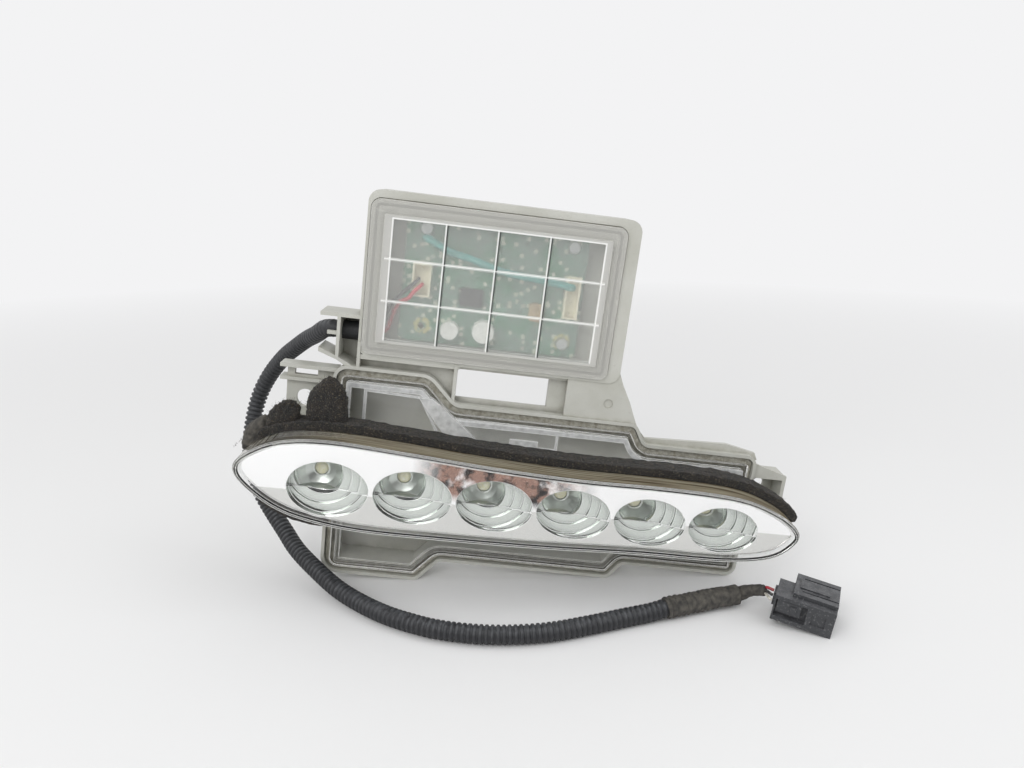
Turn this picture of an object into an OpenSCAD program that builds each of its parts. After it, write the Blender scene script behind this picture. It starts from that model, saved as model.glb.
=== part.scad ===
// Daytime running light for a car bumper, lying as it was photographed.
// A moulded housing carries a lamp chamber below and a driver bay above, joined by a web.
// Lamp frame: x along the lamp, y from the front to the back, z up, rim of the housing at y = 0.
// The lamp stands on two corners of its rim, so the whole lamp is rolled by rest_roll.
// The cable leaves the holder at the left and lies on the floor z = 0 as far as its plug.

/* [Part] */
// Which piece to draw

/* [Housing] */
// Left side of the lamp chamber
housing_left = -102; // [-120:1:-90]
// Right side of the lamp chamber
housing_right = 139; // [120:1:160]
// Height of the chamber over the left lobe
left_top = 123.5; // [115:0.5:130]
// Height of the chamber along the middle
middle_top = 108.5; // [100:0.5:115]
// Height of the chamber at the right
right_top = 97.3; // [90:0.1:104]
// Height of the long bottom edge over the lobe
long_edge = 13.4; // [8:0.2:20]
// Height of the bottom at the right
right_bottom = 23; // [16:0.5:30]
// Radius of the two corners that the lamp stands on
foot_radius = 6; // [4:0.5:9]
// Depth of the rim flange
flange_depth = 5.5; // [4:0.5:8]
// Depth of the lamp chamber
chamber_depth = 24; // [18:1:34]
// Wall thickness of the housing
wall = 1.8; // [1.2:0.1:3]
// Height of the vent cap on the back
vent_height = 6; // [5:0.5:9]
// Width of the glue channel inside the rim
channel_width = 6; // [4:0.5:9]
// Depth of the glue channel
channel_depth = 3.5; // [2:0.5:5]

/* [Driver bay] */
// Left side of the bay
bay_left = -90; // [-95:0.5:-80]
// Right side of the bay
bay_right = 54; // [45:0.5:65]
// Bottom of the bay
bay_bottom = 129.5; // [126:0.5:135]
// Top of the bay
bay_top = 218.5; // [200:0.5:230]
// Depth of the bay
bay_depth = 22; // [16:1:30]
// Corner radius of the bay
bay_radius = 6.5; // [4:0.5:10]
// Front face of the border round the cover
border_y = 1; // [0:0.5:3]

/* [Driver cover] */
// Left edge of the clear cover
cover_left = -88; // [-89:0.5:-80]
// Right edge of the clear cover
cover_right = 46.5; // [40:0.5:50]
// Bottom edge of the clear cover
cover_bottom = 131.5; // [131:0.5:136]
// Top edge of the clear cover
cover_top = 214; // [200:0.5:216]
// Thickness of the cover
cover_thick = 1.8; // [1.2:0.1:3]
// Height of the raised pane over the cover flange
pane_rise = 2.4; // [1:0.2:5]
// Width of the cover flange
cover_flange = 7.5; // [5:0.5:12]
// Width and height of the ribs on the pane
rib = 1.4; // [0.8:0.1:2.5]
// Pitch of the upright ribs
rib_pitch = 27.3; // [20:0.1:32]
// Pitch of the level ribs
rib_row = 22.2; // [18:0.1:26]

/* [Outer lens] */
// How far the lens stands out in front of the rim
lens_reach = 43; // [30:1:60]
// Wall thickness of the lens
lens_wall = 2.4; // [1.6:0.1:4]
// Front of the lens base plate, in front of the rim
base_front = 2; // [1:0.5:4]
// Height of the ridge round the base plate
ridge = 1.6; // [0.8:0.1:3]
// Gap between the lens and the pieces inside it
lens_gap = 0.8; // [0.5:0.1:2]

/* [Reflector] */
// Centre of the first cup
first_cup = -94; // [-100:0.5:-85]
// Pitch of the first two cups
cup_pitch = 44.2; // [40:0.1:48]
// How much less than that each cup adds
pitch_loss = 0.55; // [0:0.05:1]
// Height of the cup centres
cup_height = 67; // [60:0.5:75]
// Half the width of the first cup's opening
cup_half_width = 21; // [18:0.1:22]
// Half the height of the first cup's opening
cup_half_height = 14.8; // [12:0.1:17]
// How far each bowl lies left of its opening's centre
bowl_left = 6.3; // [3:0.1:9]
// How far each bowl lies above its opening's centre
bowl_up = 5.4; // [2:0.1:8]
// Radius of the first cup's round bowl
bowl_radius = 12.6; // [9:0.1:14]
// How much smaller the bowl of each next cup is
bowl_loss = 0.7; // [0:0.1:1]
// Depth of the bowl under the mirror face
bowl_depth = 15.5; // [12:0.5:20]
// Width of each step round the bowl
step_width = 4.9; // [3:0.1:6]
// Rise of each step round the bowl
step_rise = 2; // [1:0.1:2.5]
// Height of the edge that splits a cup, under its bowl's centre
split_drop = 7.6; // [5:0.1:10]
// Thickness of the mirrored skin
skin = 1.3; // [1:0.1:2]

/* [Light sources] */
// Thickness of the circuit boards
board_thick = 1.6; // [1:0.1:2]
// Radius of the dome on a light chip
dome_radius = 3.2; // [2:0.1:3.6]
// Height of that dome
dome_height = 1.7; // [1:0.1:2.5]
// Gap between a chip and its hole in the mirror
chip_gap = 0.3; // [0.2:0.1:0.6]
// Thickness of the heat sink plate
sink_thick = 2; // [1:0.5:4]
// Height of the heat sink fins
fin_depth = 12; // [6:1:20]
// Number of heat sink fins
fin_count = 9; // [5:1:12]

/* [Driver board] */
// Gap between the board and the cover's edge at each side
board_side = 18; // [14:0.5:24]
// Gap between the board and the cover's edge at top and bottom
board_end = 8; // [7.5:0.5:12]
// Front face of the driver board
board_y = 11; // [8:0.5:14]
// Radius of the board screw heads
screw_head = 3.6; // [2.5:0.1:4]
// Radius of the board screws
screw_radius = 1.5; // [1.2:0.1:2]

/* [Web and brackets] */
// Left edge of the window
window_left = -35; // [-40:0.5:-30]
// Right edge of the window
window_right = 16.5; // [10:0.5:24]
// Bottom of the window
window_bottom = 111; // [110:0.5:114]
// Top of the window
window_top = 128; // [122:0.5:129]
// Radius of the hole in the left tab
tab_hole = 5; // [3:0.1:6]
// Thickness of the tab
tab_thick = 3; // [2:0.5:5]
// Radius of the hole in the right bracket
bracket_hole = 3.3; // [2:0.1:4]
// Right end of the bracket
bracket_right = 158.4; // [154:0.2:162]
// Bottom of the bracket
bracket_low = 66; // [62:0.5:70]
// Top of the bracket
bracket_high = 86; // [82:0.5:90]
// Back face of the bracket's back wall
bracket_back = 20; // [14:0.5:24]
// Thickness of the stiffening ribs
stiffener = 1.8; // [1.2:0.1:3]

/* [Foam] */
// Thickness of the foam strip along the top
foam_thick = 5; // [3:0.5:8]
// Front of the foam strip along the top, in front of the rim
foam_front = 27; // [20:1:36]
// Depth of the foam strip
foam_depth = 14; // [10:1:20]
// Left end of that strip, where the tape begins
foam_left = -133.6; // [-136:0.2:-126]
// Thickness of the two foam pads
pad_thick = 7; // [4:0.5:10]

/* [Cable] */
// Outer radius of the corrugated conduit
conduit_radius = 5; // [4:0.1:6]
// Radius of one lead
lead_radius = 0.8; // [0.6:0.1:1.2]
// Outer radius of the tape over the conduit
tape_radius = 6.2; // [5.8:0.1:7]
// Length of the plug
plug_length = 30.2; // [26:0.2:36]
// Width of the plug
plug_width = 19.6; // [18:0.2:28]
// Height of the plug's low end
plug_height = 14.2; // [11:0.2:18]
// Turn of the plug on the floor
plug_turn = -25.75; // [-60:0.25:-10]
// Slope of the plug, which rests on the edge of its mating end
plug_pitch = 9; // [0:1:15]

/* [Hidden] */
grey_moulding = "#a9a89f";
clear_plastic = "#dfe3e4";
mirror_chrome = "#e6e6e6";
sealant_grey = "#6f6b60";
board_green = "#2f6a4c";
bare_aluminium = "#b5b8ba";
zinc_steel = "#c4c6c4";
nylon_white = "#e6e3d2";
foam_black = "#2b2723";
tape_black = "#26272a";
black_plastic = "#1f2124";
cups = [0:5];
eps = 0.01;

// Corners of the chamber rim as [x, z, radius], anticlockwise from the lobe.
rim_corners = [
  [housing_left, 0, 10], [-46, 0, foot_radius], [-34, long_edge, 4],
  [65, long_edge, foot_radius], [72, right_bottom, 3], [housing_right, right_bottom, 6],
  [housing_right, right_top, 6], [74, right_top, 5], [67.5, middle_top, 6],
  [-34, middle_top, 8], [-49, left_top, 12], [housing_left, left_top, 8]
];
holder_z = bay_bottom + 11.5;
bay_corners = box_corners(bay_left, bay_bottom, bay_right, bay_top, bay_radius);
cover_corners = box_corners(cover_left, cover_bottom, cover_right, cover_top, 5);

// The lamp rests on the lobe's foot and on the right end of the long edge.
lobe_foot = -46 - foot_radius * tan(atan2(long_edge, 12) / 2);
edge_foot = 65 - foot_radius * tan(atan2(right_bottom - long_edge, 7) / 2);
rest_roll = atan2(long_edge, edge_foot - lobe_foot);
lamp_z = foot_radius + lobe_foot * sin(rest_roll) - foot_radius * cos(rest_roll);
lamp_x = -14.3;
lamp_y = (lens_reach - chamber_depth - vent_height) / 2;

// Points of the leaf shape of the lens front, anticlockwise from its left tip.
leaf = [
  [-142, 75], [-137, 66], [-122, 55.5], [-104, 49.5], [-75, 46], [-30, 46], [20, 47], [70, 49.3],
  [115, 50.2], [140, 54.5], [152, 64], [152, 72], [140, 80], [118, 86.5], [80, 88], [35, 87.5],
  [-10, 89], [-55, 92], [-95, 94], [-120, 91], [-136, 83]
];

mirror_y = -lens_reach + lens_wall + 2.2;
chip_y = mirror_y + bowl_depth + skin + 0.3;
sink_y = chip_y + board_thick;
chip_radius = dome_radius + 0.3;

// Route of the conduit's axis in the row's frame, from the holder to the plug.
route = concat([lamp_point([-101.8, 12, holder_z]), lamp_point([-105, 12, holder_z])], [
  [-107.8, 23.5, 145.6], [-114.3, 31.5, 141], [-121.8, 40.5, 136.5], [-130.8, 50, 130],
  [-140.8, 59, 122], [-150.8, 65, 111], [-157.8, 66, 100], [-161.8, 63.5, 89], [-163.8, 58, 76],
  [-163.8, 52, 64], [-161.6, 47, 52], [-156.2, 42, 41], [-149.6, 36.5, 32.5], [-139.1, 25, 23.7],
  [-128.9, 12.5, 16.7], [-115.1, -2, 11.3], [-100.5, -16.5, 7.1], [-85.5, -29.5, 5.3], [-70.5, -41.5, 5.2],
  [-56, -50, 5.2], [-42.5, -56, 5.2], [-24, -60.4, 5.2], [-6, -61.5, 5.2], [13.7, -59.4, 5.2],
  [33, -53.8, 5.2], [53.6, -46.6, 5.2], [67.6, -42.2, 5.4], [76, -39.6, 6.3], [90, -35, 6.4],
  [104, -30.4, 6.6], [118, -27.2, 7]
]);
tape_start = len(route) - 4;
neck_route = [[118, -27.2, 7], [120, -27, 7.6], [123, -28.8, 9.8], [126.6, -31.8, 12], [130.4, -35, 13.6]];
plug_place = [128.84, -48.09, plug_length * sin(plug_pitch)];
lead_rows = [[1.5, 1], [-0.1, -0.3], [-1.7, -1.5]];
lead_sides = 8;
conduit_sides = 12;

// The board and what stands on it follow the cover.
board_left = cover_left + board_side;
board_right = cover_right - board_side;
board_bottom = cover_bottom + board_end;
board_top = cover_top - board_end;
board_mid = (board_bottom + board_top) / 2;
input_x = board_left + 10.5;
input_z = board_mid + 1;
output_x = board_right - 6.3;
output_z = board_mid + 0.5;

function box_corners(x0, z0, x1, z1, r) = [[x0, z0, r], [x1, z0, r], [x1, z1, r], [x0, z1, r]];
function unit(v) = v / norm(v);
function flat(p) = [p[0], p[1]];
function left_of(v) = [-v[1], v[0]];

// One corner of an outline turned into an arc of radius r.
function corner_arc(a, p, b, r, n) =
  let (u = unit(a - p), v = unit(b - p), half = acos(u * v) / 2, c = p + unit(u + v) * r / sin(half))
  [for (i = [0:n]) let (w = c + r * unit((p + u * r / tan(half) - c) * (n - i)
    + (p + v * r / tan(half) - c) * i)) w];

// Outline with every corner rounded by its own radius.
function rounded(c, n = 6) =
  let (m = len(c))
  [for (i = [0:m - 1])
    each corner_arc(flat(c[(i + m - 1) % m]), flat(c[i]), flat(c[(i + 1) % m]), c[i][2], n)];

// The same corners moved inwards by d, with the radii that keep the wall even.
function inset(c, d) =
  let (m = len(c))
  [for (i = [0:m - 1])
    let (
      a = flat(c[(i + m - 1) % m]), p = flat(c[i]), b = flat(c[(i + 1) % m]),
      n1 = left_of(unit(p - a)), n2 = left_of(unit(b - p)), q = p + (n1 + n2) * d / (1 + n1 * n2),
      outer = cross(unit(p - a), unit(b - p)) > 0
    ) [q[0], q[1], max(0.6, outer ? c[i][2] - d : c[i][2] + d)]];

// Smooth closed curve through the given points.
function smooth(p, n = 5) =
  let (m = len(p))
  [for (i = [0:m - 1], j = [0:n - 1])
    let (t = j / n, a = p[(i + m - 1) % m], b = p[i], c = p[(i + 1) % m], d = p[(i + 2) % m])
    b + t / 2 * ((c - a) + t * ((2 * a - 5 * b + 4 * c - d) + t * (3 * b - a - 3 * c + d)))];

function shrunk(p, d) =
  let (m = len(p))
  [for (i = [0:m - 1])
    let (n1 = left_of(unit(p[i] - p[(i + m - 1) % m])), n2 = left_of(unit(p[(i + 1) % m] - p[i])))
    p[i] + (n1 + n2) * d / (1 + n1 * n2)];

function leaf_outline(d) = smooth(shrunk(leaf, d));
function oval(cx, cz, rx, rz, n = 40) =
  [for (i = [0:n - 1]) [cx + rx * cos(360 * i / n), cz + rz * sin(360 * i / n)]];
function cup_x(i) = first_cup + cup_pitch * i - pitch_loss * i * i;
function cup_rx(i) = cup_half_width - 0.5 * i;
function cup_rz(i) = cup_half_height - 0.45 * i;
function bowl_x(i) = cup_x(i) - bowl_left;
function bowl_r(i) = bowl_radius - bowl_loss * i;
bowl_z = cup_height + bowl_up;
function lamp_point(p) = [
  lamp_x + p[0] * cos(rest_roll) + p[2] * sin(rest_roll),
  lamp_y + p[1],
  lamp_z - p[0] * sin(rest_roll) + p[2] * cos(rest_roll)
];

// Places children of the lamp frame in the row's frame.
module in_lamp() {
  translate([lamp_x, lamp_y, lamp_z])
    rotate([0, rest_roll, 0])
      children();
}

// Extrudes an outline in x and z from y0 back to y1.
module slab(y0, y1, outline) {
  translate([0, y1, 0])
    rotate([90, 0, 0])
      linear_extrude(y1 - y0)
        polygon(outline);
}

module block(x0, x1, y0, y1, z0, z1) {
  translate([x0, y0, z0])
    cube([x1 - x0, y1 - y0, z1 - z0]);
}

// Round bar along y, from y0 back to y1.
module bar(x, z, r, y0, y1, sides = 32) {
  translate([x, y1, z])
    rotate([90, 0, 0])
      cylinder(r = r, h = y1 - y0, $fn = sides);
}

// Tube swept along a route, as one closed solid; a bore is left when inner is over zero.
module swept(path, outer, inner, sides) {
  m = len(path);
  dirs = [for (i = [0:m - 1]) unit(path[min(i + 1, m - 1)] - path[max(i - 1, 0)])];
  start = unit(cross(dirs[0], abs(dirs[0][2]) > 0.9 ? [0, 1, 0] : [0, 0, 1]));
  ups = [for (i = 0, u = start; i < m; i = i + 1, u = i < m ? unit(u - (u * dirs[i]) * dirs[i]) : u) u];
  rings = inner > 0 ? [outer, inner] : [outer];
  points = [for (r = rings, i = [0:m - 1], j = [0:sides - 1])
    let (a = 360 * (j + 0.5) / sides)
    path[i] + r * (cos(a) * ups[i] + sin(a) * cross(dirs[i], ups[i]))];
  shell = m * sides;
  skins = [for (s = [0:len(rings) - 1], i = [0:m - 2], j = [0:sides - 1])
    let (k = (j + 1) % sides, a = s * shell + i * sides + j, b = s * shell + i * sides + k,
      c = b + sides, d = a + sides)
    s == 0 ? [a, b, c, d] : [d, c, b, a]];
  solid_ends = [[for (j = [sides - 1:-1:0]) j], [for (j = [0:sides - 1]) shell - sides + j]];
  ring_ends = [for (j = [0:sides - 1]) let (k = (j + 1) % sides)
    each [[j, shell + j, shell + k, k],
      [shell - sides + j, shell - sides + k, 2 * shell - sides + k, 2 * shell - sides + j]]];
  polyhedron(points, concat(skins, inner > 0 ? ring_ends : solid_ends));
}

// The grey moulding: chamber, driver bay, web, cable holder, left tab and right bracket.
module housing() {
  color(grey_moulding)
    in_lamp()
      difference() {
        union() {
          slab(0, flange_depth, rounded(rim_corners));
          slab(0, flange_depth, leaf_outline(0.4));
          slab(flange_depth, chamber_depth, rounded(inset(rim_corners, channel_width + wall - 1.5)));
          slab(border_y, bay_depth, rounded(bay_corners));
          web();
          cable_holder();
          left_tab();
          right_bracket();
        }
        slab(-eps, channel_depth, rounded(inset(rim_corners, wall)));
        chamber_pocket();
        slab(border_y - eps, border_y + 1.2, rounded(inset(cover_corners, -0.5)));
        slab(border_y, bay_depth - wall, rounded(inset(cover_corners, 5)));
        slab(-eps, chamber_depth + eps, [
          [window_left, window_bottom], [window_right, window_bottom],
          [window_right, window_top], [window_left, window_top]
        ]);
        bar(50, 118, 2.6, 1, 2.2, 24);
        lead_way();
      }
  color(grey_moulding)
    in_lamp() {
      for (p = sink_posts)
        post(p[0], p[1], 4.5, sink_y + sink_thick, chamber_depth - wall, 1.6);
      for (p = board_posts)
        post(p[0], p[1], 3.6, board_y + board_thick, bay_depth - wall, screw_radius + 0.1);
    }
}

sink_posts = [[-72, 68], [94, 68]];
board_posts = [[board_left + 11, board_top - 5], [board_right - 8, board_top - 6],
  [board_right - 8, board_bottom + 7.5], [board_left + 12, board_bottom + 8.5]];

module post(x, z, r, y0, y1, hole) {
  difference() {
    bar(x, z, r, y0, y1 + 0.5);
    bar(x, z, hole, y0 - 1, y0 + 7, 24);
  }
}

// Hollow of the lamp chamber behind the glue channel.
module chamber_pocket() {
  slab(channel_depth - eps, chamber_depth - wall, rounded(inset(rim_corners, channel_width + wall)));
}

// Way for the leads from the bay down to the chamber, and out to the cable holder.
module lead_way() {
  block(-76, -66, 12, 17, middle_top - 8, cover_bottom + 8);
  bar_x(-92, -80, 12, holder_z, 3.8);
}

module bar_x(x0, x1, y, z, r) {
  translate([x0, y, z])
    rotate([0, 90, 0])
      cylinder(r = r, h = x1 - x0, $fn = 32);
}

// Web between the chamber and the bay, with its ribs, window frame and round mark.
module web() {
  slab(7, 9, [[bay_left, left_top - 9], [-34, middle_top - 9], [30, middle_top - 9], [30, bay_bottom + 4],
    [bay_left, bay_bottom + 4]]);
  slab(1.5, 5, [[26, middle_top - 4], [69, middle_top - 4], [66, 111], [62, 120], [57, 129], [bay_right, 136],
    [26, 136]]);
  slab(9 - eps, 15, [[window_right, middle_top - 9], [26, middle_top - 9], [26, bay_bottom + 4],
    [window_right, bay_bottom + 4]]);
  block(-80, -62, 8, 20, 106, bay_bottom + 2);
  block(bay_left, window_left + 1, 1, 9, bay_bottom - 1.6, bay_bottom + 1);
  block(window_left - stiffener, window_left + eps, 0.6, 15, window_bottom - 1, bay_bottom + 1);
  block(bay_left, bay_left + stiffener, 0.6, 15, left_top - 2, bay_bottom + 8);
  block(window_left - 1, 27, 3, 15, window_top, bay_bottom + 1);
  slab(4, 6.5, [[72, right_top - 4], [134, right_top - 4], [140, 94], [138, 98], [121, 101.5], [74, 99.8],
    [70, 104], [67, 104]]);
}

// Open channel at the left of the bay that takes the end of the conduit.
module cable_holder() {
  difference() {
    union() {
      block(-111, bay_left + 1, 1, 20, holder_z + 8.6, holder_z + 10.6);
      block(-101.8, -100, 1, 20, 127, holder_z + 10);
      block(-101, bay_left + 1, 18, 20, 124, holder_z + 10);
      slab(1, 20, [[-111, 129.6], [-111, 132], [-100, 127.4], [-90, 122.4], [-90, 119.6], [-101, 126]]);
    }
    bar_x(-103, -99, 12, holder_z, 3);
  }
  block(-107, -101, 2, 4, holder_z - 1.5, holder_z + 0.5);
}

// Tab with the fixing hole at the left, under a ledge with a slot.
module left_tab() {
  difference() {
    union() {
      slab(5, 5 + tab_thick, [[-127.5, 86], [housing_left + 8, 86], [housing_left + 8, 121],
        [-127.5, 119]]);
      block(-131, housing_left + 2, 1.5, 12, 118.8, 120.8);
      block(-131, housing_left + 2, 2.5, 12, 111.4, 113.2);
    }
    bar(-117, 101.5, tab_hole, 0, 20, 48);
    block(-123.5, -111, 0, 20, 114.6, 118.2);
  }
}

// Open box at the right: back wall with the fixing hole, top and end walls, strip over its front.
module right_bracket() {
  difference() {
    union() {
      block(housing_right - 8, bracket_right, bracket_back - 3, bracket_back, bracket_low, bracket_high);
      block(housing_right - 2, bracket_right, 2, bracket_back, bracket_high - 2, bracket_high);
      block(bracket_right - 2, bracket_right, 2, bracket_back, bracket_low, bracket_high);
      slab(2, 4, [[housing_right - 2, bracket_high - 2], [bracket_right, bracket_high - 2],
        [bracket_right, bracket_high + 0.6], [housing_right - 2, 93]]);
    }
    bar(148.5, 76, bracket_hole, 0, bracket_back + 1, 32);
  }
}

// The clear lens: base plate with its ridge, a deep side wall and the leaf-shaped front.
module outer_lens() {
  plate = inset(rim_corners, channel_width + wall + 0.4);
  lip = inset(rim_corners, channel_width + wall + 3);
  color(clear_plastic, 0.4)
    in_lamp()
      difference() {
        union() {
          difference() {
            union() {
              slab(-base_front, 0, rounded(inset(rim_corners, channel_width + wall - 2.6)));
              slab(-base_front - ridge, 0, rounded(plate));
            }
            slab(-base_front - ridge - 1, -base_front, rounded(lip));
          }
          base_forms();
          slab(-lens_reach + 2, 0, leaf_outline(0));
          slab(-lens_reach + 0.8, -lens_reach + 2 + eps, leaf_outline(0.7));
          slab(-lens_reach, -lens_reach + 0.8 + eps, leaf_outline(1.9));
          slab(-eps, channel_depth - 1, rounded(inset(rim_corners, channel_width + wall - 2.2)));
        }
        slab(-lens_reach + lens_wall, -base_front + 1.8, leaf_outline(lens_wall));
        slab(-base_front + 1.8 - eps, channel_depth, rounded(inset(rim_corners, channel_width + wall + 0.6)));
        slab(-base_front - eps, channel_depth, leaf_outline(lens_wall));
      }
}

// Raised forms on the base plate over the leaf: frame of the left field, slanting prism, long low box.
module base_forms() {
  field = [[-84, 89], [-40, 89], [-52.6, 111.6], [-84, 112.8]];
  prism = [[-36, 88.5], [-21, 90.5], [-26, 95.4], [-41.4, 107.6], [-46.4, 111.2], [-54.4, 111.4]];
  long_box = [[-32, 88], [24.6, 88], [24.6, 100.6], [-33, 101.2]];
  difference() {
    slab(-base_front - 1.2, -base_front + eps, field);
    slab(-base_front - 2, -base_front, shrunk(field, 1.5));
  }
  difference() {
    slab(-base_front - 1.4, -base_front + eps, long_box);
    slab(-base_front - 2, -base_front - 0.5, shrunk(long_box, 1.4));
  }
  slab(-base_front - 1.3, -base_front + eps, [[-2, 87], [13.5, 87], [13.5, 92.9], [-2, 92.9]]);
  slab(-base_front - 2.8, -base_front + eps, prism);
}

// Glue line that bonds the lens foot in the housing channel.
module lens_sealant() {
  color(sealant_grey)
    in_lamp()
      difference() {
        slab(channel_depth - 1, channel_depth, rounded(inset(rim_corners, wall + 0.6)));
        slab(channel_depth - 2, channel_depth + 1, rounded(inset(rim_corners, channel_width + wall - 0.2)));
      }
}

// Stepped bowl turned round its light chip, as the space that it leaves open.
// Larger is added to every radius and deeper to every depth, for the skin behind it.
module turned_steps(x, z, r0, depth, floor_r, larger, deeper, front) {
  rise = [for (k = [0:3]) [r0 + k * step_width, depth - k * step_rise]];
  translate([x, mirror_y, z])
    rotate([-90, 0, 0])
      rotate_extrude($fn = 64)
        polygon(concat(
          [[0, -front], [0, floor_r + deeper], [chip_radius + 0.9 + larger, floor_r + deeper],
            [r0 * 0.64 + larger, floor_r * 0.86 + deeper], [r0 * 0.86 + larger, floor_r * 0.68 + deeper],
            [r0 + larger, depth + 0.6 + deeper]],
          [for (s = rise) each [[s[0] + 0.3 + larger, s[1] - 0.9 + deeper],
            [s[0] + step_width + larger, s[1] - 1.2 + deeper]]],
          [[r0 + 5 * step_width + larger, -front]]
        ));
}

module cup_space(i, larger, deeper, front) {
  intersection() {
    slab(mirror_y - front - 1, mirror_y + 30,
      oval(cup_x(i), cup_height, cup_rx(i) + larger, cup_rz(i) + larger));
    union() {
      intersection() {
        turned_steps(bowl_x(i), bowl_z, bowl_r(i), 8, bowl_depth, larger, deeper, front);
        block(cup_x(i) - 30, cup_x(i) + 30, mirror_y - 5, mirror_y + 30, bowl_z - split_drop - larger,
          bowl_z + 20);
      }
      intersection() {
        turned_steps(bowl_x(i) + 2.5, bowl_z + 4, bowl_r(i) + 1.5, 7.4, 8.4, larger, deeper, front);
        block(cup_x(i) - 30, cup_x(i) + 30, mirror_y - 5, mirror_y + 30, 40,
          bowl_z - split_drop + larger + eps);
      }
    }
  }
}

// The mirrored bezel with its six stepped cups, one moulding.
module reflector() {
  color(mirror_chrome)
    in_lamp()
      difference() {
        union() {
          slab(mirror_y, mirror_y + skin, leaf_outline(lens_wall + lens_gap));
          slab(mirror_y + 0.5, mirror_y + 9, leaf_outline(lens_wall + lens_gap));
          for (i = cups)
            cup_space(i, skin, skin, -0.3);
          for (p = mirror_posts)
            bar(p[0], p[1], 2, mirror_y + 1, sink_y);
        }
        difference() {
          slab(mirror_y + skin, mirror_y + 12, leaf_outline(lens_wall + lens_gap + 1.4));
          for (i = cups)
            cup_space(i, skin, skin, -0.3);
          for (p = mirror_posts)
            bar(p[0], p[1], 2, mirror_y, sink_y);
        }
        for (i = cups) {
          cup_space(i, 0, 0, 0.5);
          bar(bowl_x(i), bowl_z, chip_radius + chip_gap, mirror_y + 5, mirror_y + 30, 40);
        }
      }
}

mirror_posts = [[-120, 70], [-30, 81], [54, 81], [136, 68]];

// Aluminium-backed board that carries the six chips.
module led_board() {
  color(board_green)
    in_lamp()
      difference() {
        slab(chip_y, sink_y, rounded(box_corners(-112, 62, 118, 78, 2)));
        for (p = sink_posts)
          bar(p[0], p[1], 1.9, chip_y - 1, sink_y + 1, 24);
      }
}

// Light chip: round base with a domed top that looks through the bowl's floor.
module led(i) {
  color("#e9e3b0")
    in_lamp()
      translate([bowl_x(i), chip_y, bowl_z])
        rotate([90, 0, 0])
          rotate_extrude($fn = 40)
            polygon(concat([[0, 0], [chip_radius, 0], [chip_radius, 0.8]],
              [for (a = [0:15:90]) [dome_radius * cos(a), 0.8 + dome_height * sin(a)]]));
}

// Finned plate behind the board.
module heat_sink() {
  color(bare_aluminium)
    in_lamp()
      difference() {
        union() {
          intersection() {
            slab(sink_y, sink_y + sink_thick, leaf_outline(lens_wall + 1.6));
            block(-128, 142, -60, 0, 0, 100);
          }
          for (k = [0:fin_count - 1])
            block(-112 + k * 28, -110 + k * 28, sink_y + sink_thick - eps,
              sink_y + sink_thick + fin_depth, 60, 79);
        }
        for (p = sink_posts)
          bar(p[0], p[1], 1.7, sink_y - 1, sink_y + sink_thick + 1, 24);
      }
}

// Cross-head screw along y, with its head in front of the face at y.
module screw(x, z, y, head, shank, length) {
  color(zinc_steel)
    in_lamp()
      difference() {
        union() {
          translate([x, y, z])
            rotate([90, 0, 0])
              cylinder(r1 = head, r2 = head * 0.8, h = head * 0.55, $fn = 40);
          bar(x, z, shank, y - eps, y + length, 24);
        }
        for (a = [20, 110])
          translate([x, y - head * 0.55, z])
            rotate([0, a, 0])
              cube([head * 1.1, head * 0.5, head * 0.26], center = true);
      }
}

// The clear cover of the driver bay: flange, raised pane and its grid of ribs.
module driver_cover() {
  pane = inset(cover_corners, cover_flange);
  mid_x = (cover_left + cover_right) / 2;
  mid_z = (cover_bottom + cover_top) / 2;
  color(clear_plastic, 0.4)
    in_lamp()
      difference() {
        union() {
          slab(border_y - cover_thick, border_y, rounded(cover_corners));
          slab(border_y - cover_thick - pane_rise, border_y, rounded(pane));
          slab(border_y - eps, border_y + 1.2, rounded(inset(cover_corners, 2)));
          for (k = [-1:1])
            block(mid_x + k * rib_pitch - rib / 2, mid_x + k * rib_pitch + rib / 2,
              border_y - cover_thick - pane_rise - 0.5, border_y - 1, cover_bottom + 9, cover_top - 9);
          for (k = [-0.5, 0.5])
            block(cover_left + 9, cover_right - 9, border_y - cover_thick - pane_rise - 0.5, border_y - 1,
              mid_z + k * rib_row - rib / 2, mid_z + k * rib_row + rib / 2);
        }
        slab(border_y - pane_rise, border_y + 2, rounded(inset(pane, cover_thick)));
        slab(border_y, border_y + 2, rounded(inset(cover_corners, 3.6)));
      }
}

// Glue line under the cover's foot.
module cover_sealant() {
  color(sealant_grey)
    in_lamp()
      difference() {
        slab(border_y + 0.4, border_y + 1.2, rounded(inset(cover_corners, -0.3)));
        slab(border_y, border_y + 2, rounded(inset(cover_corners, 1.7)));
      }
}

module driver_board() {
  color(board_green)
    in_lamp()
      difference() {
        slab(board_y, board_y + board_thick,
          rounded(box_corners(board_left, board_bottom, board_right, board_top, 2)));
        for (p = board_posts)
          bar(p[0], p[1], screw_radius + 0.2, board_y - 1, board_y + board_thick + 1, 24);
      }
}

// Pin header on the driver board, open to the front.
module header(x, z, width, height, pins) {
  row = (height - 5.6) / (pins - 1);
  low = z - height / 2;
  color(nylon_white)
    in_lamp() {
      difference() {
        block(x - width / 2, x + width / 2, board_y - 6, board_y, low, low + height);
        block(x - width / 2 + 1, x + width / 2 - 1, board_y - 7, board_y - 1.2, low + 1, low + height - 1);
      }
      for (k = [0:pins - 1])
        block(x - 0.4, x + 0.4, board_y - 5, board_y - 1, low + 2.4 + k * row, low + 3.2 + k * row);
    }
}

module input_header() {
  header(input_x, input_z, 10, 18, 3);
}

module output_header() {
  header(output_x, output_z, 8, 23, 4);
}

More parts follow.
